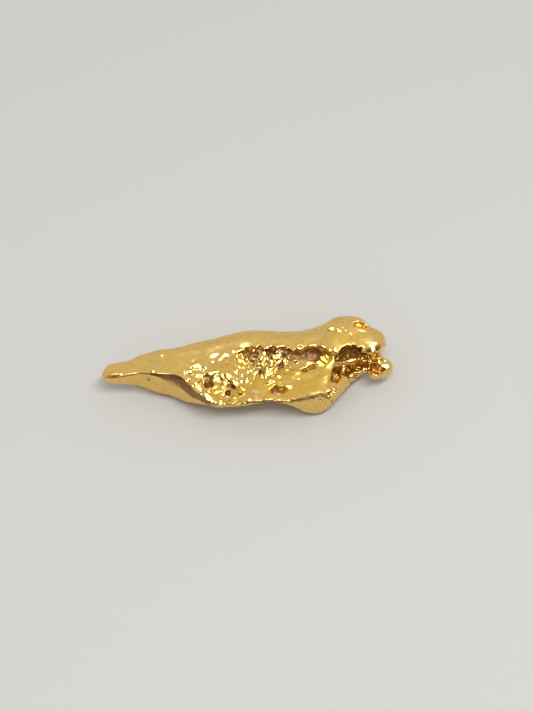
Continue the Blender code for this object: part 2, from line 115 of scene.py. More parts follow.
class Clay:
    def __init__(self, low, high, cell):
        self.cell = cell
        self.low = np.array(low)
        count = np.ceil((np.array(high) - self.low) / cell).astype(int) + 1
        self.axes = [self.low[i] + cell * np.arange(count[i]) for i in range(3)]
        self.depth = np.full(count, block["farAway"], np.float32)

    def places(self):
        return np.meshgrid(*[axis.astype(np.float32) for axis in self.axes], indexing="ij", sparse=True)

    def work(self, distance, low, high, how, seam):
        box = tuple(slice(*np.searchsorted(axis, (a, b))) for axis, a, b in zip(self.axes, low, high))
        if min(self.depth[box].shape) == 0:
            return
        near = [axis[part].astype(np.float32) for axis, part in zip(self.axes, box)]
        form = distance(*np.meshgrid(*near, indexing="ij", sparse=True))
        if how == "add":
            self.depth[box] = softMin(self.depth[box], form, seam)
        else:
            self.depth[box] = softMax(self.depth[box], -form, seam)

    def egg(self, middle, half, how="add", seam=0.2, axes=None):
        axes = np.eye(3) if axes is None else axes
        half = np.array(half, float)
        reach = np.abs(axes) @ half + seam + 3 * self.cell

        def distance(x, y, z):
            return eggDistance((x - middle[0], y - middle[1], z - middle[2]), half, axes)

        self.work(distance, middle - reach, middle + reach, how, seam)

    def facet(self, right, up, half, turn=0.0, height=0.03, facing=towardsGlint):  # a small flat face
        middle, axes = self.spot(right, up), turnedAxes(turn)
        half = np.array((*half, 1.5 * max(half)))
        reach = np.abs(axes) @ half + 3 * self.cell

        def distance(x, y, z):
            gap = (x - middle[0], y - middle[1], z - middle[2])
            face = sum(gap[i] * facing[i] for i in range(3)) - height
            return eggDistance(gap, half, axes), face

        def above(*place):
            egg, face = distance(*place)
            return np.maximum(egg, -face)

        def below(*place):
            return np.maximum(*distance(*place))

        self.work(above, middle - reach, middle + reach, "cut", 0.03)
        self.work(below, middle - reach, middle + reach, "add", 0.03)

    def rods(self, points, how="add", seam=0.15):  # through (x, y, z, radius)
        points = np.array(points, float)
        for a, b in zip(points[:-1], points[1:]):
            margin = max(a[3], b[3]) + seam + 3 * self.cell

            def distance(x, y, z, a=a, b=b):
                run = b[:3] - a[:3]
                share = ((x - a[0]) * run[0] + (y - a[1]) * run[1] + (z - a[2]) * run[2]) / (run @ run)
                share = np.clip(share, 0, 1)
                gap = [v - a[i] - share * run[i] for i, v in enumerate((x, y, z))]
                return (np.sqrt(sum(g * g for g in gap)) - a[3] - share * (b[3] - a[3])).astype(np.float32)

            self.work(distance, np.minimum(a, b)[:3] - margin, np.maximum(a, b)[:3] + margin, how, seam)

    def spot(self, right, up):  # where the line of sight meets the surface
        steps = np.arange(4.0, -4.0, -0.5 * self.cell)
        line = onSheet(right, up, 1.5) + steps[:, None] * towardsEye
        nearest = np.rint((line - self.low) / self.cell).astype(int)
        nearest = np.clip(nearest, 0, np.array(self.depth.shape) - 1)
        depth = self.depth[tuple(nearest.T)]
        hit = int(np.argmax(depth < 0))
        return line[hit] - towardsEye * float(depth[hit])

    def hollow(self, right, up, half, deep, seam=0.1, turn=0.0, lean=0.0):  # an egg cut at the surface
        self.egg(self.spot(right, up), (*half, deep), "cut", seam, turnedAxes(turn, lean))

    def bead(self, right, up, half, lift=0.3, turn=0.0):  # a small egg that stands out by the share lift
        deep = min(half)
        middle = self.spot(right, up) + towardsEye * deep * (lift - 1.0)
        self.egg(middle, (*half, deep), "add", 0.06, turnedAxes(turn))

    def recess(self, right, up, half, deep, seam=0.03, turn=0.0):  # cut back under its upper rim
        rim = self.spot(right, up + half[1])
        middle = alongRight * right + upSheet * up + towardsEye * (rim @ towardsEye)
        self.egg(middle, (*half, deep), "cut", seam, turnedAxes(turn))

    def press(self, right, up, half, deep, fade=0.3, turn=0.0):  # pushes an oval of the upper side in
        x, y, z = self.places()
        self.depth += deep * ovalOnSheet(x, y, z, right, up, half, fade, turn) * upperSide(z)

    def edge(self, points, lift=0.5, how="add", seam=0.08):  # a line over the surface, (right, up, radius)
        points = np.array(points, float)
        places = np.concatenate([[0], np.cumsum(np.hypot(*np.diff(points[:, :2], axis=0).T))])
        along = np.linspace(0, places[-1], max(2, int(places[-1] / 0.15)))
        run = np.stack([np.interp(along, places, points[:, i]) for i in range(3)], 1)
        sink = lift - 1.0 if how == "add" else 1.0 - lift
        self.rods([(*(self.spot(r, u) + towardsEye * size * sink), size) for r, u, size in run], how, seam)

    def swell(self, sizes, seed):  # smooth random values, about -1 to 1
        counts = [int((axis[-1] - axis[0]) / size) + 5 for axis, size in zip(self.axes, sizes)]
        values = np.random.default_rng(seed).uniform(-2.2, 2.2, counts).astype(np.float32)
        for i, axis in enumerate(self.axes):
            at = (axis - axis[0]) / sizes[i]
            first = np.floor(at).astype(int)
            f = at - first
            spline = ((1 - f) ** 3, 3 * f**3 - 6 * f**2 + 4, 1 + 3 * f + 3 * f**2 - 3 * f**3, f**3)
            weights = np.zeros((len(at), counts[i]), np.float32)
            for step, share in enumerate(spline):
                weights[np.arange(len(at)), first + step] = share / 6
            values = np.moveaxis(np.tensordot(weights, values, (1, i)), 0, i)
        return values

    def folds(self, size, seed):  # flat faces between creases, about -1 to 1
        x, y, z = self.places()
        up = y * sinTilt + z * cosTilt
        total = 0.0
        for turn in (15, 75, 135):
            t = math.radians(turn)
            drift = 0.6 * self.swell((3 * size,) * 3, seed + turn)
            phase = (x * math.cos(t) + up * math.sin(t)) / size + drift
            total = total + 4 * np.sqrt((phase - np.floor(phase) - 0.5) ** 2 + 0.006) - 1.15
        return total / 3


# section lines of the body: (right, value) along the nugget
body = {
    "backOutline": (
        (-7.6, -0.30), (-7.0, 0.03), (-6.0, 0.22), (-5.5, 0.46), (-4.5, 0.78), (-4.0, 0.79),
        (-3.0, 1.06), (-2.0, 1.28), (-1.5, 1.39), (-0.5, 1.69), (0.5, 1.79), (2.0, 1.70), (2.5, 1.71),
        (3.5, 1.89), (4.0, 2.10), (4.6, 2.30),
    ),
    "backRounding": (
        (-7.6, 0.30), (-6.0, 0.40), (-3.0, 0.70), (-1.0, 0.88), (2.5, 0.90), (4.0, 1.05),
    ),
    "topTilt": ((-5.0, 2.0), (-2.0, 8.0)),  # degrees
    "ridgeLine": (
        (-7.6, -0.60), (-7.0, -0.63), (-6.5, -0.60), (-5.5, -0.43), (-5.0, -0.46), (-4.0, -0.68),
        (-3.5, -0.86), (-3.0, -1.22), (-2.5, -1.60), (-2.0, -1.86), (-1.5, -1.97), (-0.5, -2.03),
        (0.0, -1.94), (1.0, -1.82), (1.5, -1.82), (2.0, -1.90), (3.0, -1.70), (3.5, -1.56),
        (4.0, -1.50),
    ),
    "ridgeHeight": (
        (-7.6, 1.60), (-6.0, 1.80), (-4.5, 1.96), (-3.5, 1.96), (-2.5, 1.76), (-1.5, 1.62),
        (-0.5, 1.60), (0.5, 1.62), (2.0, 1.70), (3.0, 1.82), (4.0, 1.86), (4.6, 1.80),
    ),
    "ridgeChamfer": (  # its width, widest at the dark band beside the tail
        (-7.6, 0.10), (-6.0, 0.12), (-5.0, 0.10), (-4.5, 0.24), (-4.0, 0.40), (-3.5, 0.60),
        (-3.2, 0.60), (-2.9, 0.52), (-2.5, 0.36), (-2.0, 0.20), (-0.5, 0.13), (1.2, 0.10), (2.0, 0.12),
        (3.0, 0.20), (3.5, 0.16), (3.9, 0.02), (4.6, 0.02),
    ),
    "ridgeRounding": ((-7.6, 0.16), (-6.4, 0.14), (-6.0, 0.02), (3.6, 0.02), (4.1, 0.16)),
    "bandRounding": (
        (-4.8, 0.02), (-4.4, 0.12), (-3.8, 0.26), (-2.8, 0.26), (-2.0, 0.06), (3.6, 0.02), (4.1, 0.16),
    ),
    "flankFoot": (
        (-7.6, -0.95), (-7.0, -1.08), (-6.0, -1.06), (-5.5, -1.10), (-4.5, -1.53), (-3.5, -1.84),
        (-2.5, -1.96), (-1.5, -2.14), (-0.5, -2.10), (0.5, -1.97), (1.0, -1.89), (1.5, -1.89),
        (2.0, -2.02), (3.0, -2.48), (3.5, -2.59), (4.0, -2.36), (4.6, -1.80),
    ),
    "bellyHeight": (
        (-7.6, 0.95), (-7.0, 0.85), (-6.0, 0.70), (-5.0, 0.35), (-4.0, 0.12), (-3.0, 0.02),
        (-2.0, -0.03), (3.8, -0.03), (4.6, 0.20),
    ),
    "bellySetBack": 1.2,  # from the ridge to where the belly starts
    "bellyMiddle": -1.45,
    "bellyCurve": 0.09,  # its rise per square millimetre away from the middle
    "smoothing": 0.12,
    "tailEnd": -7.52,
    "chestEnd": 4.50,
}


def section(clay, points):
    points = np.array(points)
    fine = np.arange(-9.0, 9.0, 0.02)
    reach = np.arange(-30, 31)
    weights = np.exp(-0.5 * (reach * 0.02 / body["smoothing"]) ** 2)
    line = np.interp(fine, points[:, 0], points[:, 1])
    line = np.convolve(np.pad(line, 30, mode="edge"), weights / weights.sum(), mode="valid")
    return np.interp(clay.axes[0], fine, line)[:, None, None].astype(np.float32)


def modelBody(clay):
    x, y, z = clay.places()
    ridgeZ = section(clay, body["ridgeHeight"])
    ridgeY = (section(clay, body["ridgeLine"]) - ridgeZ * cosTilt) / sinTilt
    footZ = (section(clay, body["flankFoot"]) - ridgeY * sinTilt) / cosTilt
    slope = np.radians(section(clay, body["topTilt"]))
    radius = section(clay, body["backRounding"])
    outline = section(clay, body["backOutline"]) - radius
    plane = -radius - np.sin(slope) * ridgeY + np.cos(slope) * ridgeZ
    share = sinTilt * np.cos(slope) + cosTilt * np.sin(slope)
    # the back's circle touches the top and the outline
    backY = (outline * np.cos(slope) - cosTilt * plane) / share
    backZ = (sinTilt * plane + np.sin(slope) * outline) / share

    top = np.cos(slope) * (z - ridgeZ) - np.sin(slope) * (y - ridgeY)
    belly = section(clay, body["bellyHeight"])
    rise = (footZ - belly) / body["bellySetBack"]
    under = (footZ - z - rise * (y - ridgeY)) / np.sqrt(1 + rise * rise)
    bottom = belly + body["bellyCurve"] * (y - body["bellyMiddle"]) ** 2 - z
    edge, face = section(clay, body["ridgeRounding"]), ridgeY - y
    chamfer = (top + face) * math.sqrt(0.5) + 0.5 * section(clay, body["ridgeChamfer"])
    front = softMax(softMax(top, chamfer, edge), face, section(clay, body["bandRounding"]))
    front = softMax(softMax(front, softMax(under, bottom, 0.5), 0.12), y - backY, 0.05)
    back = softMax(np.sqrt((y - backY) ** 2 + (z - backZ) ** 2) - radius, bottom, 0.4)
    lean = 0.9 * (y - backY - radius) + 0.45 * (backZ - z)
    rump = softMax(softMax(lean, bottom, 0.4), np.maximum(z - backZ, backY - 0.2 - y), 0.02)

    whole = softMin(softMin(front, back, 0.05), rump, 0.3)
    whole = softMax(whole, body["tailEnd"] - x, 0.55)
    clay.depth = softMax(whole, 0.9 * (x - body["chestEnd"]) - 0.35 * (y + 2.2), 0.8)
    clay.egg(np.array([3.35, -2.95, 0.95]), (0.90, 0.42, 0.75), seam=0.4)


def modelHead(clay):
    dome = Clay(block["low"], block["high"], clay.cell)
    dome.egg(np.array([4.90, 0.12, 1.72]), (1.10, 1.45, 1.20), seam=0.3)
    dome.egg(np.array([5.45, 0.11, 1.72]), (0.98, 1.47, 1.18), seam=0.3)
    dome.egg(np.array([6.28, -0.02, 1.85]), (0.82, 0.85, 0.72), seam=0.3)
    x, y, z = clay.places()
    crownTilt = math.radians(9.0)
    crown = math.cos(crownTilt) * (z - 2.62) - math.sin(crownTilt) * y
    clay.depth = softMin(clay.depth, softMax(dome.depth, crown + 0 * x, 0.25), 0.45)


def modelJaw(clay):
    clay.rods([(*onSheet(6.60, 1.0, 1.9), 0.34), (*onSheet(6.64, 0.60, 1.6), 0.20),
               (*onSheet(6.72, 0.10, 1.35), 0.26)], seam=0.2)
    clay.egg(onSheet(6.88, -0.13, 1.25), (0.57, 0.49, 0.50), "add", 0.12, turnedAxes())
    clay.egg(onSheet(6.52, -0.28, 1.15), (0.40, 0.42, 0.40), "add", 0.12, turnedAxes())
    clay.egg(onSheet(6.30, 0.45, 1.30), (0.36, 0.50, 0.35), "add", 0.2, turnedAxes())
    clay.egg(onSheet(6.45, -0.22, 1.50), (0.38, 0.30, 0.45), "cut", 0.05, turnedAxes(-15))
    clay.egg(onSheet(7.10, 0.64, 1.60), (0.28, 0.30, 2.50), "cut", 0.05, turnedAxes())
    clay.egg(onSheet(6.50, 1.02, 2.18), (0.42, 0.28, 0.22), "add", 0.10, turnedAxes(25, -10))


# small lumps in the hollows of the neck: right, up, half width, half height
neckLumps = (
    (4.85, 0.50, 0.08, 0.07), (5.12, 0.72, 0.08, 0.06), (5.33, 0.68, 0.10, 0.08),
    (5.55, 0.85, 0.07, 0.06), (5.86, 0.75, 0.07, 0.07), (5.20, 0.42, 0.10, 0.06),
    (5.68, 0.62, 0.07, 0.06), (5.50, 0.02, 0.09, 0.06), (5.15, -0.25, 0.09, 0.06),
    (5.75, -0.15, 0.08, 0.06), (4.50, -0.70, 0.07, 0.09), (4.60, -0.25, 0.06, 0.08),
)


def modelNeck(clay):
    clay.egg(onSheet(5.0, 0.2, 0.85), (1.1, 1.0, 0.5), seam=0.3)
    clay.rods([(*onSheet(4.1, -1.48, 1.30), 0.44), (*onSheet(4.72, -0.85, 1.1), 0.40),
               (*onSheet(5.2, -0.46, 1.05), 0.32), (*onSheet(5.6, -0.22, 1.05), 0.25),
               (*onSheet(6.15, -0.05, 1.1), 0.22)], seam=0.2)  # the web
    clay.egg(np.array([5.25, -0.85, 1.60]), (1.06, 0.95, 0.94), "cut", 0.08)  # runs back under the head
    clay.egg(onSheet(5.45, -0.15, 1.25), (0.62, 0.20, 0.50), "cut", 0.08, turnedAxes(14))
    clay.egg(onSheet(4.50, -0.52, 1.60), (0.27, 0.55, 0.60), "cut", 0.1, turnedAxes(-20))
    clay.rods([(*onSheet(4.3, 0.05, 1.75), 0.20), (*onSheet(4.9, 0.08, 1.5), 0.17),
               (*onSheet(5.4, 0.20, 1.5), 0.16), (*onSheet(5.75, 0.42, 1.5), 0.14),
               (*onSheet(6.1, 0.46, 1.5), 0.13), (*onSheet(6.3, 0.28, 1.45), 0.12),
               (*onSheet(6.28, 0.05, 1.4), 0.12)], seam=0.08)  # the strand that curls round a bead
    clay.rods([(*onSheet(4.90, -0.68, 1.15), 0.12), (*onSheet(5.30, -0.52, 1.1), 0.10),
               (*onSheet(5.70, -0.36, 1.1), 0.09), (*onSheet(6.10, -0.22, 1.15), 0.09)], seam=0.08)
    clay.egg(onSheet(5.95, 0.22, 1.35), (0.20, 0.18, 0.20), "add", 0.05, turnedAxes())
    clay.rods([(*onSheet(4.95, -0.05, 1.5), 0.10), (*onSheet(4.8, -0.5, 1.4), 0.10),
               (*onSheet(4.75, -0.9, 1.3), 0.14)], seam=0.08)
    groove = [(6.44, 0.50, 0.08), (6.38, 0.10, 0.10), (6.45, -0.25, 0.14), (6.80, -0.42, 0.08)]
    clay.edge(groove, 0.5, "cut", 0.06)
    for right, up, wide, tall in neckLumps:
        clay.bead(right, up, (wide, tall), lift=0.8)


# lumps, peaks and pits in the long hollow under the back: right, up, half width, half height
cavityLumps = (
    (0.10, 0.72, 0.10, 0.07), (0.28, 0.50, 0.08, 0.06), (0.42, 0.80, 0.07, 0.06),
    (0.58, 0.62, 0.09, 0.07), (0.80, 0.78, 0.08, 0.06), (0.95, 0.60, 0.08, 0.09),
    (1.12, 0.80, 0.07, 0.05), (1.30, 0.62, 0.10, 0.07), (1.45, 0.80, 0.08, 0.05),
    (1.60, 0.58, 0.07, 0.10), (1.75, 0.76, 0.08, 0.06), (1.95, 0.62, 0.09, 0.08),
    (2.15, 0.50, 0.10, 0.06), (2.40, 0.62, 0.08, 0.05), (2.62, 0.34, 0.14, 0.05),
    (3.10, 0.30, 0.16, 0.05), (0.15, 0.30, 0.12, 0.06), (0.05, 0.50, 0.07, 0.08),
)
cavityPeaks = (
    (0.85, 0.25, 0.12, 0.17), (0.50, -0.02, 0.14, 0.12), (0.35, -0.62, 0.14, 0.12),
    (0.98, -0.30, 0.13, 0.36), (1.40, 0.35, 0.14, 0.16), (1.62, 0.42, 0.11, 0.13),
    (1.88, 0.22, 0.12, 0.17), (2.45, 0.18, 0.15, 0.12),
)
cavityPits = (
    (0.68, 0.12, 0.12, 0.16), (0.70, -0.30, 0.12, 0.22), (1.15, 0.40, 0.12, 0.16),
    (1.72, 0.05, 0.12, 0.26), (1.42, -0.20, 0.24, 0.10), (2.88, -0.24, 0.16, 0.08),
    (3.12, -0.15, 0.14, 0.07), (3.32, -0.06, 0.11, 0.09),
)


def modelRightCavity(clay):
    clay.press(2.90, 0.22, (1.05, 0.45), 0.06, 0.40, turn=3)
    clay.press(1.15, 0.02, (1.30, 0.58), 0.13, 0.40)
    clay.recess(2.98, 0.48, (0.84, 0.46), 0.40, turn=4)
    clay.recess(2.25, 0.46, (0.36, 0.28), 0.30)
    clay.recess(1.75, 0.64, (0.46, 0.27), 0.28)
    clay.recess(1.15, 0.64, (0.44, 0.27), 0.28)
    clay.recess(0.62, 0.68, (0.36, 0.26), 0.22)
    clay.recess(0.18, 0.60, (0.30, 0.28), 0.14, 0.06)
    clay.hollow(3.80, 0.34, (0.46, 0.50), 0.17, 0.06, turn=-20)
    for right, up, wide, tall in cavityLumps:
        clay.bead(right, up, (wide, tall), lift=0.55)
    clay.edge([(0.05, 0.05, 0.10), (0.50, 0.28, 0.12), (0.95, 0.42, 0.07)], lift=0.9)  # the spur
    for right, up, wide, tall in cavityPeaks:
        clay.bead(right, up, (wide, tall), lift=0.7)
    for right, up, wide, tall in cavityPits:
        clay.hollow(right, up, (wide, tall), 0.2, 0.06)
    clay.bead(2.66, 0.88, (0.27, 0.23), lift=0.6)
    clay.hollow(2.66, 0.92, (0.13, 0.10), 0.12, 0.03)
    lip = [(2.98, 0.88, 0.05), (3.20, 0.99, 0.08), (3.50, 1.03, 0.08),
           (3.75, 0.93, 0.08), (4.15, 0.78, 0.05)]
    clay.edge(lip, 0.4)


def modelPlateau(clay):
    clay.hollow(1.55, -1.26, (0.46, 0.36), 0.17, 0.03, turn=-5, lean=25)
    clay.hollow(1.40, -1.28, (0.14, 0.26), 0.10, 0.05, turn=-14)
    clay.bead(1.74, -1.26, (0.20, 0.13), lift=0.5, turn=10)
    clay.press(3.20, -0.45, (1.10, 0.30), 0.05, 0.35, turn=18)


# shallow overlapping dents that step down into the shelf: right, up, half sizes, turn, depth
scallops = (
    (-1.66, 0.26, (0.36, 0.22), 33, 0.045), (-1.66, -0.04, (0.36, 0.20), 24, 0.052),
    (-1.08, 0.24, (0.36, 0.24), 27, 0.048), (-0.58, 0.58, (0.20, 0.20), 30, 0.050),
    (-0.15, 0.62, (0.26, 0.22), 12, 0.045),
)


def modelLeftPocket(clay):
    for right, up, half, turn, deep in scallops:
        clay.press(right, up, half, deep, 0.09 / half[1], turn)
    clay.press(-0.05, -0.20, (0.55, 1.10), 0.10, 0.30)
    clay.press(-1.20, -1.22, (1.10, 0.62), 0.18, 0.42, turn=-18)
    clay.press(-2.45, -0.70, (0.50, 0.60), 0.10, 0.35, turn=40)
    clay.hollow(-1.00, -1.05, (0.60, 0.08), 0.10, 0.03, turn=-14, lean=25)
    clay.hollow(-1.95, -0.98, (0.22, 0.18), 0.22, 0.04, turn=-20)
    clay.hollow(-1.90, -0.74, (0.10, 0.12), 0.18, 0.03)
    clay.hollow(-1.00, -1.45, (0.18, 0.13), 0.3, 0.03, turn=-20)
    clay.bead(-0.42, -1.50, (0.36, 0.30), lift=0.4, turn=-20)
    for step in range(5):
        right, up = -0.66 + 0.13 * step, -1.42 + 0.05 * step
        clay.edge([(right, up, 0.05), (right + 0.26, up - 0.30, 0.05)], 0.4, "cut", 0.04)


# small holes in the skin: right, up, half width
pinholes = (
    (5.28, 1.50, 0.07), (4.87, 1.86, 0.07), (5.02, 1.70, 0.06), (4.50, 2.14, 0.05), (6.55, 1.75, 0.05),
    (5.90, 1.42, 0.05), (-3.15, -1.75, 0.08), (3.68, -1.78, 0.09), (3.62, -2.05, 0.07),
    (2.60, -0.75, 0.06), (3.10, -1.32, 0.05), (3.30, -1.50, 0.05), (1.20, 1.15, 0.05),
    (-1.90, 1.10, 0.06), (5.42, -0.52, 0.07), (5.10, -0.66, 0.07), (4.68, -1.24, 0.08),
    (4.48, -1.68, 0.07), (4.95, -0.95, 0.06), (2.30, -0.35, 0.05),
)


def modelHeadMarks(clay):  # the eye and its brow, a dimple and the holes
    clay.hollow(5.68, 2.06, (0.36, 0.13), 0.14, 0.04, turn=-12)
    clay.hollow(5.98, 1.98, (0.16, 0.08), 0.18, 0.04, turn=-25)
    clay.edge([(5.30, 2.08, 0.05), (5.52, 2.23, 0.07), (5.85, 2.19, 0.08), (6.20, 1.95, 0.05)])
    underEye = [(5.45, 1.84, 0.03), (5.75, 1.72, 0.04), (6.10, 1.64, 0.04), (6.45, 1.72, 0.03)]
    clay.edge(underEye, 0.4, "cut", 0.05)
    clay.edge([(4.12, 1.72, 0.03), (4.40, 1.76, 0.06), (4.62, 1.66, 0.04)], 0.3, "cut", 0.04)
    for right, up, wide in pinholes:
        clay.hollow(right, up, (wide, 0.8 * wide), wide, 0.03)


def modelTailMarks(clay):
    clay.bead(-4.82, -0.32, (0.10, 0.10))
    clay.hollow(-5.02, -0.76, (0.16, 0.10), 0.10, 0.06, turn=-30)
    clay.bead(-4.40, 0.50, (0.12, 0.08), lift=0.5)


# where the skin is rough: right, up, half sizes, fade, turn, strength
roughPlaces = (
    (1.05, 0.05, (1.15, 0.95), 0.25, 0, 1.0),
    (-2.60, -0.50, (0.70, 0.60), 0.3, -40, 0.6),
    (5.50, -0.10, (0.75, 0.40), 0.3, 14, 0.4),
    (4.48, -0.50, (0.30, 0.50), 0.3, -20, 0.4),
    (-1.15, -1.35, (1.40, 0.55), 0.25, -16, 0.7),
    (-0.10, -0.35, (0.40, 1.10), 0.4, 6, 0.5),
    (5.00, -0.95, (1.30, 0.38), 0.3, 47, 0.35),
    (5.20, 0.60, (0.85, 0.40), 0.3, 8, 0.5),
    (4.25, -1.15, (0.35, 0.40), 0.4, 0, 0.35),
    (1.60, 0.66, (1.60, 0.30), 0.3, 0, 0.4),
    (2.90, 0.50, (0.80, 0.40), 0.3, 3, 0.3),
    (-0.90, 0.10, (1.30, 0.60), 0.4, 20, 0.35),
    (2.60, -0.15, (1.10, 0.30), 0.4, 0, 0.5),
)

# heights and sizes in mm
unevenness = {
    "folds": (0.08, 0.34),  # where it is rough
    "crumbs": (0.045, (0.11, 0.15, 0.15)),  # also where it is rough
    "ridgeShare": 0.6,  # how rough the ridge is
    "swells": ((0.028, 0.6), (0.012, 0.26)),  # everywhere
    "lowSwells": ((0.09, 1.1), (0.04, 0.5)),  # more of it lower down
    "lowFrom": 1.6,  # height above the table
}


def alongRidge(x, y, z):
    right, up = x, y * sinTilt + z * cosTilt
    ridge = np.interp(right, *np.array(body["ridgeLine"]).T)
    return np.clip(1.0 - np.abs(up - ridge) / 0.15, 0, 1) * np.clip(right + 2.6, 0, 1)


def spread(places, x, y, z):  # the strength of a table's ovals added up
    return sum(share * ovalOnSheet(x, y, z, right, up, half, fade, turn)
               for right, up, half, fade, turn, share in places)


def roughness(x, y, z):
    rough = spread(roughPlaces, x, y, z) + unevenness["ridgeShare"] * alongRidge(x, y, z)
    return np.clip(rough, 0, 1) * upperSide(z)


def roughen(clay):
    x, y, z = clay.places()
    rough = roughness(x, y, z)
    height, size = unevenness["folds"]
    clay.depth -= height * rough * clay.folds(size, 3)
    height, sizes = unevenness["crumbs"]
    clay.depth -= height * rough * clay.swell(sizes, 4)
    (high, wide), (low, narrow) = unevenness["swells"]
    clay.depth -= high * clay.swell((wide,) * 3, 5) + low * clay.swell((narrow,) * 3, 6)
    below = np.clip(unevenness["lowFrom"] - z, 0, 1)
    (high, wide), (low, narrow) = unevenness["lowSwells"]
    clay.depth -= below * (high * clay.swell((wide,) * 3, 8) + low * clay.swell((narrow,) * 3, 9))


# small flat faces strewn over the rough places
strewn = {
    "seed": 11,
    "perArea": 60,  # times the cube of the place's strength
    "slope": (52, 74),  # degrees
    "size": (0.07, 0.14),
    "depth": 0.02,
}


def scatterFacets(clay):
    random = np.random.default_rng(strewn["seed"])
    for right, up, half, fade, turn, share in roughPlaces:
        for i in range(int(strewn["perArea"] * share**3 * half[0] * half[1])):
            a, reach = random.uniform(0, 2 * math.pi), math.sqrt(random.uniform(0, 1))
            t = math.radians(turn)
            across, above = half[0] * reach * math.cos(a), half[1] * reach * math.sin(a)
            slope, side = math.radians(random.uniform(*strewn["slope"])), random.uniform(-0.2, 0.2)
            facing = np.array([side, -math.cos(slope), math.sin(slope)])
            size = random.uniform(*strewn["size"])
            clay.facet(right + across * math.cos(t) - above * math.sin(t),
                       up + above * math.cos(t) + across * math.sin(t),
                       (size, size * random.uniform(0.7, 1.6)), random.uniform(-60, 60),
                       strewn["depth"], facing)


# flat faces that catch the light: right, up, half sizes, turn
facets = (
    (-1.52, -0.70, (0.18, 0.17), 10), (-1.18, -0.55, (0.26, 0.20), -30),
    (-0.88, -0.66, (0.40, 0.17), -52), (-0.50, -1.02, (0.44, 0.15), -42),
    (-0.30, -0.55, (0.08, 0.20), -15), (-0.05, -0.75, (0.07, 0.20), -20),
    (-0.55, -0.32, (0.10, 0.12), 0), (0.12, -0.98, (0.06, 0.16), -20), (0.00, -0.38, (0.07, 0.14), 0),
    (-6.72, -0.48, (0.34, 0.07), 6), (2.72, -0.20, (0.08, 0.05), 0), (3.30, -0.28, (0.10, 0.05), 10),
    (3.62, -0.10, (0.08, 0.05), 0), (3.85, 0.92, (0.22, 0.07), -35), (4.16, 0.71, (0.14, 0.07), -42),
    (-0.45, 0.72, (0.34, 0.09), 14), (-0.55, 0.48, (0.07, 0.12), 0), (6.68, 0.14, (0.08, 0.14), 15),
    (6.95, -0.26, (0.16, 0.06), 5), (7.02, 0.22, (0.10, 0.06), -20), (-2.60, -0.05, (0.19, 0.15), 20),
    (-2.48, -0.58, (0.22, 0.17), -10), (-0.28, -1.20, (0.22, 0.07), -42),
    (-2.25, -0.30, (0.07, 0.10), 10), (-0.28, 0.42, (0.08, 0.15), 0), (-0.22, 0.12, (0.08, 0.15), 10),
    (-0.40, -0.12, (0.07, 0.12), 0), (3.78, 0.30, (0.10, 0.16), 35), (4.02, 0.42, (0.07, 0.14), 10),
    (-2.88, -0.35, (0.09, 0.13), 40), (-3.20, -0.38, (0.06, 0.12), 10),
    (-2.50, -1.10, (0.36, 0.13), -52), (-1.96, -1.64, (0.38, 0.14), -46),
    (-0.65, -1.86, (0.17, 0.08), -50), (-1.92, -1.25, (0.08, 0.09), 0), (-1.35, -1.34, (0.09, 0.07), 0),
    (-0.15, -1.45, (0.12, 0.06), -40), (0.55, 0.02, (0.10, 0.11), 0), (0.87, 0.25, (0.08, 0.16), -10),
    (0.35, -0.65, (0.13, 0.11), 20), (0.98, -0.42, (0.11, 0.32), -8), (1.32, 0.42, (0.10, 0.14), 10),
    (1.52, 0.38, (0.08, 0.14), -10), (1.90, 0.12, (0.08, 0.17), 5), (2.42, 0.20, (0.14, 0.07), -15),
    (2.05, -1.09, (0.19, 0.09), 5), (3.88, 0.22, (0.20, 0.07), -42), (0.90, -1.74, (0.13, 0.06), 0),
    (1.38, -1.82, (0.10, 0.07), 0), (2.25, -1.70, (0.07, 0.06), 0), (4.30, 1.84, (0.26, 0.09), 3),
    (4.62, 1.78, (0.16, 0.07), -32), (6.38, 0.76, (0.11, 0.16), 0), (6.60, 0.50, (0.06, 0.12), 10),
    (7.05, -0.08, (0.20, 0.14), -35), (6.85, -0.33, (0.12, 0.07), 10), (4.42, 0.78, (0.10, 0.14), 10),
    (4.08, -1.30, (0.14, 0.08), 0), (4.28, -1.85, (0.05, 0.11), 0), (4.20, -1.60, (0.05, 0.07), -20),
    (0.72, -0.55, (0.08, 0.12), 10), (1.20, -0.05, (0.12, 0.08), 20), (0.25, 0.30, (0.12, 0.06), 25),
    (0.75, 0.42, (0.08, 0.08), 0), (2.25, 0.30, (0.10, 0.06), 10), (-4.80, -0.84, (0.08, 0.04), 0),
    (5.88, 0.98, (0.05, 0.09), 0),
)


def modelFacets(clay):
    for right, up, half, turn in facets:
        clay.facet(right, up, half, turn)


def blurred(values, cells):  # a box blur, three times over
    for i in range(3):
        for turn in range(3):
            margins = [(cells + 1, cells) if j == i else (0, 0) for j in range(3)]
            padded = np.pad(values, margins, mode="edge")
            total = np.cumsum(padded, axis=i, dtype=np.float64)
            ahead = np.take(total, range(2 * cells + 1, total.shape[i]), axis=i)
            behind = np.take(total, range(0, total.shape[i] - 2 * cells - 1), axis=i)
            values = ((ahead - behind) / (2 * cells + 1)).astype(np.float32)
    return values


def largestPiece(points, quads):  # leaves loose crumbs out
    piece = np.arange(len(points))
    while True:
        joined = piece.copy()
        np.minimum.at(joined, quads.ravel(), np.repeat(piece[quads].min(axis=1), 4))
        joined = joined[joined]
        if np.array_equal(joined, piece):
            break
        piece = joined
    own = quads[piece[quads[:, 0]] == np.bincount(piece).argmax()]
    used, renumbered = np.unique(own, return_inverse=True)
    return points[used], renumbered.reshape(own.shape)


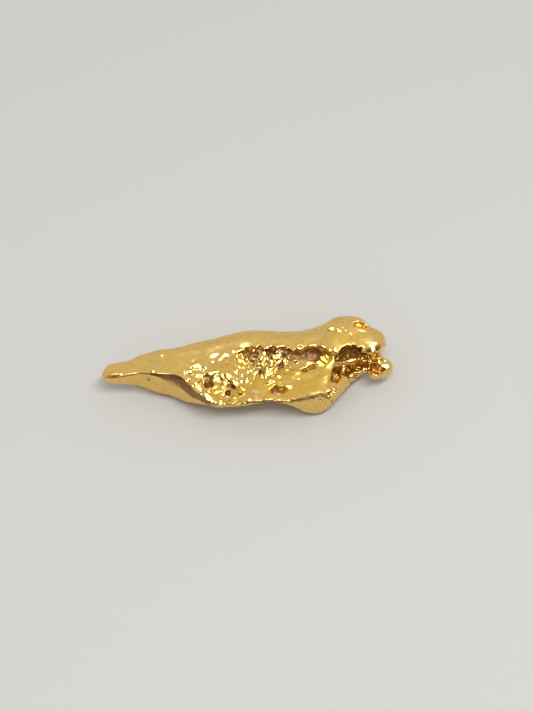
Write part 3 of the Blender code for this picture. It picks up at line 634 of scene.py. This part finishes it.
def sampled(clay, values, points):  # the grid's values at the points, in millimetres
    at = (points - clay.low) / clay.cell
    at = np.clip(at, 0, np.array(clay.depth.shape) - 1.001)
    base = at.astype(int)
    f = at - base
    total = np.zeros(len(points))
    for corner in np.ndindex(2, 2, 2):
        share = np.prod(np.where(corner, f, 1 - f), axis=1)
        total += share * values[tuple((base + corner).T)]
    return total


# where the skin is polished, as in roughPlaces
polishedPlaces = (
    (-1.20, 0.35, (1.20, 0.50), 0.3, 20, 0.6),
    (-1.00, -0.70, (0.90, 0.35), 0.3, -20, 1.0),
    (6.70, 0.50, (0.75, 1.10), 0.3, 0, 1.0),
    (-4.25, -0.68, (0.60, 0.20), 0.3, -15, 1.0),
    (-3.40, -0.98, (0.80, 0.32), 0.3, -35, 1.0),
    (-2.40, -1.68, (0.90, 0.25), 0.3, -36, 1.0),
)

# where the hollows get painted brown shade: right, up, half sizes, turn, strength
shadedHollows = (
    (5.15, 0.62, (0.95, 0.42), 8, 0.6), (5.50, -0.15, (0.66, 0.26), 14, 1.0),
    (4.50, -0.50, (0.28, 0.52), -20, 0.25), (2.90, 0.60, (0.95, 0.40), 3, 0.8),
    (1.50, 0.70, (0.68, 0.27), 0, 0.9), (0.40, 0.64, (0.60, 0.34), 0, 0.45),
    (-1.95, -0.92, (0.26, 0.26), 0, 0.7), (-1.00, -1.42, (0.20, 0.18), 0, 1.0),
    (-0.90, -1.12, (0.65, 0.16), -16, 0.5), (6.55, -0.20, (0.42, 0.34), -15, 1.3),
    (6.38, 0.15, (0.20, 0.42), 10, 1.2), (1.38, -1.20, (0.26, 0.36), 0, 0.8),
    (0.68, -0.12, (0.15, 0.35), 0, 0.6), (3.05, -0.20, (0.40, 0.16), 0, 0.8),
    (1.65, 0.05, (0.20, 0.30), 0, 0.6),
)

# brown on the open skin, in the same order: painted shade on the dark band and crease along the ridge,
# streaks, dots and mottling elsewhere
streaksAndPaintedShade = (
    (-1.90, 1.10, (0.28, 0.07), 10, 0.5), (-1.45, 0.92, (0.30, 0.08), -20, 0.35),
    (-0.75, 1.28, (0.50, 0.10), 15, 0.3), (1.20, 1.16, (0.07, 0.05), 0, 0.6),
    (-2.90, 0.70, (0.50, 0.08), 20, 0.25), (1.90, 1.45, (0.60, 0.08), 0, 0.25),
    (-3.70, -0.90, (0.80, 0.22), -22, 0.5), (-2.98, -1.28, (0.66, 0.19), -42, 1.1),
    (-2.20, -1.80, (0.62, 0.12), -30, 0.9), (2.95, -1.63, (0.85, 0.11), 13, 1.4),
    (0.80, -1.86, (1.20, 0.07), 0, 1.0), (1.00, 0.00, (1.10, 0.55), 0, 0.4),
    (-1.30, -1.20, (1.15, 0.45), -18, 0.3), (-2.50, -0.40, (0.45, 0.50), 0, 0.3),
)

# where the gold mirrors gold and looks deeper, in the same order
deepPlaces = (
    (-0.30, 0.30, (0.22, 0.50), 5, 1.0), (4.05, 0.35, (0.32, 0.50), -20, 1.0),
    (0.15, -1.00, (0.50, 0.65), 15, 0.25), (2.10, -0.90, (2.40, 0.75), 6, 0.6),
    (-1.00, -0.10, (1.10, 0.50), 20, 0.35), (5.10, 1.35, (0.90, 0.35), 0, 0.6),
    (-1.10, -1.30, (1.20, 0.50), -18, 0.6), (5.70, 2.04, (0.36, 0.16), -12, 0.6),
)

# a pale grain of stone: right, up, half sizes, fade, turn
stoneSpeck = (0.42, -1.34, (0.17, 0.07), 0.5, -8)

shadePainting = {
    "fade": 0.25,
    "blurCells": 6,  # how far around a point the gold is counted
    "hollowShadeShare": 0.49,  # the painted shade in the listed hollows shows where more of the room around is gold than this
    "recessShadeShare": 0.58,  # everything with more gold around gets painted brown shade
    "lowest": 0.8,  # the brown on the open skin fades out below this height
}


def addMask(mesh, name, values):
    values = np.clip(values, 0, 1).astype(np.float32)
    mesh.attributes.new(name, "FLOAT", "POINT").data.foreach_set("value", values)


def paintMasks(clay, mesh, points):
    filled = blurred(np.clip(0.5 - 10 * clay.depth, 0, 1), shadePainting["blurCells"])
    around = sampled(clay, filled, points)  # share of gold around, 0.5 on a flat place
    shadeAndStreaks, ridgeShadeAndStreaks, deep = (
        sum(share * ovalOnSheet(*points.T, right, up, half, shadePainting["fade"], turn)
            for right, up, half, turn, share in places)
        for places in (shadedHollows, streaksAndPaintedShade, deepPlaces)
    )
    # painted brown shade in the listed hollows, only where more gold is around
    shadeAndStreaks = shadeAndStreaks * np.clip(20 * (around - shadePainting["hollowShadeShare"]), 0, 1)
    # adds the painted shade along the ridge and the brown streaks and mottling on the open skin
    shadeAndStreaks = shadeAndStreaks + ridgeShadeAndStreaks * np.clip(3 * (points[:, 2] - shadePainting["lowest"]), 0, 1)
    upper = upperSide(points[:, 2])
    # hollow mask: painted brown shade in recesses, in the listed hollows and along the ridge, with brown
    # streaks
    addMask(mesh, "hollow", np.clip(5 * (around - shadePainting["recessShadeShare"]), 0, 1) + shadeAndStreaks)
    addMask(mesh, "rough", roughness(*points.T))
    addMask(mesh, "polish", spread(roughPlaces + polishedPlaces, *points.T) * upper)
    addMask(mesh, "deep", deep * upper)
    addMask(mesh, "speck", ovalOnSheet(*points.T, *stoneSpeck) * upper)


def fitToFrame(points):  # to metres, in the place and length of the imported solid
    low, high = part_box("nugget")
    scale = (high[0] - low[0]) / (points[:, 0].max() - points[:, 0].min())
    middle = (points.min(axis=0) + points.max(axis=0)) / 2
    middle[2] = 0.0
    place = np.array([(low[0] + high[0]) / 2, (low[1] + high[1]) / 2, low[2]])
    return scale, place - middle * scale


def makeNugget():
    clay = Clay(block["low"], block["high"], block["cell"])
    modelBody(clay)
    modelHead(clay)
    modelJaw(clay)
    modelNeck(clay)
    print("body, head and neck modelled")
    modelRightCavity(clay)
    modelPlateau(clay)
    modelLeftPocket(clay)
    modelHeadMarks(clay)
    modelTailMarks(clay)
    print("hollows and marks cut")
    roughen(clay)
    scatterFacets(clay)
    modelFacets(clay)
    print("skin roughened and", len(facets), "large facets cut")
    clay.depth = np.maximum(clay.depth, -clay.places()[2])
    grid = openvdb.FloatGrid(block["farAway"])
    grid.copyFromArray(np.ascontiguousarray(clay.depth))
    points, quads = largestPiece(*grid.convertToQuads(0.0))
    points = points * clay.cell + clay.low
    points[points[:, 2] < block["wornLevel"], 2] = 0.0
    mesh = bpy.data.meshes.new("nuggetSkin")
    scale, shift = fitToFrame(points)
    mesh.from_pydata((points * scale + shift).tolist(), [], quads.tolist())
    mesh.shade_smooth()
    paintMasks(clay, mesh, points)
    print("nugget skin:", len(points), "points")
    piece = bpy.data.objects.new("nuggetSkin", mesh)
    bpy.context.collection.objects.link(piece)
    return piece, scale, shift


# fine relief grown over the skin; sizes in mm
skinRelief = {
    "Crumple Height": 0.035,
    "Crumple Size": 0.16,
    "Grain Height": 0.015,
    "Grain Size": 0.10,
    "Pinhole Depth": 0.050,
    "Pinhole Spacing": 0.80,
    "Seed": 7.0,
}


def link(tree, source, output, target, key):
    tree.links.new(source.outputs[output], target.inputs[key])


def mathNode(tree, operation, first, second=None, third=None):  # of (node, output) pairs or numbers
    node = tree.nodes.new("ShaderNodeMath")
    node.operation = operation
    for i, value in enumerate((first, second, third)):
        if isinstance(value, tuple):
            link(tree, *value, node, i)
        elif value is not None:
            node.inputs[i].default_value = value
    return node, "Value"


def reliefTree(material):
    tree = bpy.data.node_groups.new("skinRelief", "GeometryNodeTree")
    tree.interface.new_socket("Geometry", in_out="INPUT", socket_type="NodeSocketGeometry")
    tree.interface.new_socket("Geometry", in_out="OUTPUT", socket_type="NodeSocketGeometry")
    for name in skinRelief:
        tree.interface.new_socket(name, in_out="INPUT", socket_type="NodeSocketFloat")
    source = tree.nodes.new("NodeGroupInput")
    place = tree.nodes.new("GeometryNodeInputPosition")
    normal = tree.nodes.new("GeometryNodeInputNormal")
    masks = {}
    for name in ("rough", "polish"):
        masks[name] = tree.nodes.new("GeometryNodeInputNamedAttribute")
        masks[name].data_type = "FLOAT"
        masks[name].inputs["Name"].default_value = name

    def waves(sizeName, shift):  # smooth noise about zero, in 4D so that the seed moves it
        scale = mathNode(tree, "DIVIDE", 1.0 / mm, (source, sizeName))
        noise = tree.nodes.new("ShaderNodeTexNoise")
        noise.noise_dimensions = "4D"
        noise.inputs["Detail"].default_value = 1.0
        link(tree, place, "Position", noise, "Vector")
        link(tree, *scale, noise, "Scale")
        link(tree, *mathNode(tree, "ADD", (source, "Seed"), shift), noise, "W")
        return mathNode(tree, "SUBTRACT", (noise, "Fac"), 0.5)

    roughShare = (masks["rough"], "Attribute")
    polishedAway = mathNode(tree, "MULTIPLY_ADD", (masks["polish"], "Attribute"), -0.8, 1.0)
    crumple = mathNode(tree, "MULTIPLY", waves("Crumple Size", 0.0), (source, "Crumple Height"))
    crumple = mathNode(tree, "MULTIPLY", crumple, roughShare)
    grain = mathNode(tree, "MULTIPLY", waves("Grain Size", 5.0), (source, "Grain Height"))
    grain = mathNode(tree, "MULTIPLY", grain, polishedAway)
    cells = tree.nodes.new("ShaderNodeTexVoronoi")
    cells.voronoi_dimensions = "4D"
    link(tree, place, "Position", cells, "Vector")
    link(tree, *mathNode(tree, "DIVIDE", 1.0 / mm, (source, "Pinhole Spacing")), cells, "Scale")
    link(tree, source, "Seed", cells, "W")
    hole = tree.nodes.new("ShaderNodeMapRange")
    hole.interpolation_type = "SMOOTHSTEP"
    link(tree, cells, "Distance", hole, "Value")
    hole.inputs["From Min"].default_value = 0.04
    hole.inputs["From Max"].default_value = 0.14
    hole.inputs["To Min"].default_value = -1.0
    hole.inputs["To Max"].default_value = 0.0
    pinhole = mathNode(tree, "MULTIPLY", (hole, "Result"), (source, "Pinhole Depth"))
    height = mathNode(tree, "ADD", mathNode(tree, "ADD", crumple, grain), pinhole)
    offset = tree.nodes.new("ShaderNodeVectorMath")
    offset.operation = "SCALE"
    link(tree, normal, "Normal", offset, "Vector")
    link(tree, *mathNode(tree, "MULTIPLY", height, mm), offset, "Scale")
    moved = tree.nodes.new("GeometryNodeSetPosition")
    link(tree, source, "Geometry", moved, "Geometry")
    link(tree, offset, "Vector", moved, "Offset")
    realized = tree.nodes.new("GeometryNodeRealizeInstances")
    link(tree, moved, "Geometry", realized, "Geometry")
    painted = tree.nodes.new("GeometryNodeSetMaterial")
    painted.inputs["Material"].default_value = material
    link(tree, realized, "Geometry", painted, "Geometry")
    target = tree.nodes.new("NodeGroupOutput")
    link(tree, painted, "Geometry", target, "Geometry")
    return tree


def growRelief(piece, material):
    tree = reliefTree(material)
    modifier = piece.modifiers.new("skinRelief", "NODES")
    modifier.node_group = tree
    for item in tree.interface.items_tree:
        if item.in_out == "INPUT" and item.name in skinRelief:
            modifier[item.identifier] = skinRelief[item.name]
    evaluated = piece.evaluated_get(bpy.context.evaluated_depsgraph_get())
    mesh = bpy.data.meshes.new_from_object(evaluated)
    piece.modifiers.remove(modifier)
    piece.data = mesh
    points = np.empty(3 * len(mesh.vertices), np.float32)
    mesh.vertices.foreach_get("co", points)
    points[2::3] = np.maximum(points[2::3], 0.0)
    mesh.vertices.foreach_set("co", points)
    mesh.update()
    print("relief grown over", len(mesh.vertices), "points")


goldLook = {
    "gold": (0.90, 0.61, 0.19, 1.0),
    "deepGold": (0.90, 0.55, 0.08, 1.0),
    # painted brown shade in the hollows and along the ridge, brown streaks and soiled pores
    "shadeAndSoilBrown": (0.38, 0.23, 0.10, 1.0),
    "stone": (0.50, 0.45, 0.40, 1.0),
    "satin": 0.30,  # roughness of plain skin
    "bright": 0.15,  # where it is polished
    "roughInShade": 0.55,  # where the brown shade and streaks are painted
    "grainSize": 0.06,  # mm
    "grainHeight": 0.4,
}


def mixColour(tree, factor, first, second):
    node = tree.nodes.new("ShaderNodeMix")
    node.data_type = "RGBA"
    link(tree, *factor, node, "Factor")
    for key, value in (("A", first), ("B", second)):
        if isinstance(value[0], float):
            node.inputs[key].default_value = value
        else:
            link(tree, *value, node, key)
    return node, "Result"


def toneGroup():  # gold, deeper where it mirrors gold, painted brown shade in the hollows and along the ridge, brown streaks and soiled pores
    group = bpy.data.node_groups.new("goldTone", "ShaderNodeTree")
    for name in ("Hollow", "Deep", "Scale"):
        group.interface.new_socket(name, in_out="INPUT", socket_type="NodeSocketFloat")
    group.interface.new_socket("Color", in_out="OUTPUT", socket_type="NodeSocketColor")
    source = group.nodes.new("NodeGroupInput")
    target = group.nodes.new("NodeGroupOutput")
    place = group.nodes.new("ShaderNodeTexCoord")
    blotches = group.nodes.new("ShaderNodeTexNoise")
    blotches.inputs["Detail"].default_value = 3.0
    link(group, place, "Object", blotches, "Vector")
    link(group, source, "Scale", blotches, "Scale")
    mottle = mathNode(group, "MULTIPLY_ADD", (blotches, "Fac"), 1.8, -0.9)
    deep = mathNode(group, "ADD", (source, "Deep"), mottle)
    deep[0].use_clamp = True
    # mix towards brown: painted shade and streaks from the hollow mask, mottled, then soiled pores
    shadeStreaksAndSoil = mathNode(group, "MULTIPLY_ADD", mottle, 0.5, (source, "Hollow"))
    pores = group.nodes.new("ShaderNodeTexNoise")
    pores.inputs["Detail"].default_value = 3.0
    link(group, place, "Object", pores, "Vector")
    link(group, *mathNode(group, "MULTIPLY", (source, "Scale"), 1.3), pores, "Scale")
    soil = mathNode(group, "MULTIPLY_ADD", (pores, "Fac"), 1.5, -0.77)
    soil[0].use_clamp = True
    shadeStreaksAndSoil = mathNode(group, "MULTIPLY_ADD", shadeStreaksAndSoil, (source, "Hollow"), soil)
    shadeStreaksAndSoil[0].use_clamp = True
    colour = mixColour(group, deep, goldLook["gold"], goldLook["deepGold"])
    colour = mixColour(group, shadeStreaksAndSoil, colour, goldLook["shadeAndSoilBrown"])
    link(group, *colour, target, "Color")
    return group


def finishGroup():  # fine grain of the skin and how it scatters the light
    group = bpy.data.node_groups.new("satinFinish", "ShaderNodeTree")
    for name in ("Polish", "Hollow", "Scale"):
        group.interface.new_socket(name, in_out="INPUT", socket_type="NodeSocketFloat")
    for name in ("Height", "Roughness"):
        group.interface.new_socket(name, in_out="OUTPUT", socket_type="NodeSocketFloat")
    source = group.nodes.new("NodeGroupInput")
    target = group.nodes.new("NodeGroupOutput")
    place = group.nodes.new("ShaderNodeTexCoord")
    grain = group.nodes.new("ShaderNodeTexNoise")
    grain.inputs["Detail"].default_value = 4.0
    link(group, place, "Object", grain, "Vector")
    link(group, source, "Scale", grain, "Scale")
    dulled = mathNode(group, "MULTIPLY_ADD", (source, "Polish"), -0.85, 1.0)
    dulled[0].use_clamp = True
    link(group, *mathNode(group, "MULTIPLY", (grain, "Fac"), dulled), target, "Height")
    satin = group.nodes.new("ShaderNodeMapRange")
    satin.inputs["To Min"].default_value = goldLook["satin"]
    satin.inputs["To Max"].default_value = goldLook["bright"]
    link(group, source, "Polish", satin, "Value")
    roughInShade = group.nodes.new("ShaderNodeMapRange")
    link(group, source, "Hollow", roughInShade, "Value")
    link(group, satin, "Result", roughInShade, "To Min")
    roughInShade.inputs["To Max"].default_value = goldLook["roughInShade"]
    varied = mathNode(group, "MULTIPLY_ADD", (grain, "Fac"), 0.16, -0.08)
    link(group, *mathNode(group, "ADD", (roughInShade, "Result"), varied), target, "Roughness")
    return group


def goldMaterial():
    material = bpy.data.materials.new("nativeGold")
    material.use_nodes = True
    tree = material.node_tree
    shader = tree.nodes["Principled BSDF"]
    masks = {}
    for name in ("hollow", "polish", "deep", "speck"):
        masks[name] = tree.nodes.new("ShaderNodeAttribute")
        masks[name].attribute_name = name
    tone = tree.nodes.new("ShaderNodeGroup")
    tone.node_tree = toneGroup()
    tone.inputs["Scale"].default_value = 0.25 / (goldLook["grainSize"] * mm)
    # the hollow mask carries painted brown shade and brown streaks
    link(tree, masks["hollow"], "Fac", tone, "Hollow")
    link(tree, masks["deep"], "Fac", tone, "Deep")
    finish = tree.nodes.new("ShaderNodeGroup")
    finish.node_tree = finishGroup()
    finish.inputs["Scale"].default_value = 1.0 / (goldLook["grainSize"] * mm)
    link(tree, masks["polish"], "Fac", finish, "Polish")
    link(tree, masks["hollow"], "Fac", finish, "Hollow")
    stone = mixColour(tree, (masks["speck"], "Fac"), (tone, "Color"), goldLook["stone"])
    link(tree, *stone, shader, "Base Color")
    link(tree, *mathNode(tree, "SUBTRACT", 1.0, (masks["speck"], "Fac")), shader, "Metallic")
    link(tree, finish, "Roughness", shader, "Roughness")
    bump = tree.nodes.new("ShaderNodeBump")
    bump.inputs["Strength"].default_value = goldLook["grainHeight"]
    bump.inputs["Distance"].default_value = 0.02 * mm
    link(tree, finish, "Height", bump, "Height")
    link(tree, bump, "Normal", shader, "Normal")
    return material


# how bright and what colour the room is
studio = {
    "sky": (0.66, 0.65, 0.634, 1.0),  # above and behind
    "dark": (0.13, 0.085, 0.10, 1.0),  # in front
    "wall": (0.66, 0.655, 0.64, 1.0),  # what the camera sees behind the table
    "floorColour": (0.58, 0.575, 0.55, 1.0),
    "stripPower": 0.16,  # of the overhead strip light, in watts
}


def areaLight(name, place, size, power, aim=(0, 0, 0)):
    data = bpy.data.lights.new(name, "AREA")
    data.shape = "RECTANGLE"
    data.size, data.size_y = size
    data.energy = power
    light = bpy.data.objects.new(name, data)
    bpy.context.collection.objects.link(light)
    light.location = place
    light.rotation_mode = "QUATERNION"
    light.rotation_quaternion = (Vector(aim) - Vector(place)).to_track_quat("-Z", "Y")


def makeStudio():
    world = bpy.data.worlds.new("studio")
    bpy.context.scene.world = world
    world.use_nodes = True
    tree = world.node_tree
    direction = tree.nodes.new("ShaderNodeTexCoord")
    parts = tree.nodes.new("ShaderNodeSeparateXYZ")
    link(tree, direction, "Generated", parts, "Vector")
    fade = tree.nodes.new("ShaderNodeMapRange")  # dim in front, where the viewer stands
    fade.interpolation_type = "SMOOTHSTEP"
    fade.inputs["From Min"].default_value = -0.55
    fade.inputs["From Max"].default_value = -0.05
    link(tree, parts, "Y", fade, "Value")
    rays = tree.nodes.new("ShaderNodeLightPath")
    lit = mathNode(tree, "MAXIMUM", (fade, "Result"), (rays, "Is Diffuse Ray"))
    room = mixColour(tree, lit, studio["dark"], studio["sky"])
    seen = mixColour(tree, (rays, "Is Camera Ray"), room, studio["wall"])
    link(tree, *seen, tree.nodes["Background"], "Color")
    areaLight("overhead", (0.03, -0.045, 0.16), (0.12, 0.02), studio["stripPower"])

    bpy.ops.mesh.primitive_plane_add(size=0.7)
    floor = bpy.context.object
    floor.name = "table"
    paper = bpy.data.materials.new("paper")
    paper.use_nodes = True
    paper.node_tree.nodes["Principled BSDF"].inputs["Base Color"].default_value = studio["floorColour"]
    paper.node_tree.nodes["Principled BSDF"].inputs["Roughness"].default_value = 0.9
    floor.data.materials.append(paper)
    print("studio lit")


def makeCamera(scale, shift):
    data = bpy.data.cameras.new("camera")
    data.lens = view["lens"]
    data.sensor_width = 36
    data.clip_start = 0.001
    camera = bpy.data.objects.new("camera", data)
    bpy.context.collection.objects.link(camera)
    aim = onSheet(*view["aim"]) * scale + shift
    back = Vector(towardsEye)
    camera.location = Vector(aim) + back * view["distance"] * mm
    camera.rotation_mode = "QUATERNION"
    camera.rotation_quaternion = (-back).to_track_quat("-Z", "Y")
    bpy.context.scene.camera = camera
    bpy.context.scene.view_settings.view_transform = "Standard"
    print("camera placed", view["distance"], "mm away")


nugget, scale, shift = makeNugget()
growRelief(nugget, goldMaterial())
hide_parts("nugget")
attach(nugget, "root")
makeStudio()
makeCamera(scale, shift)
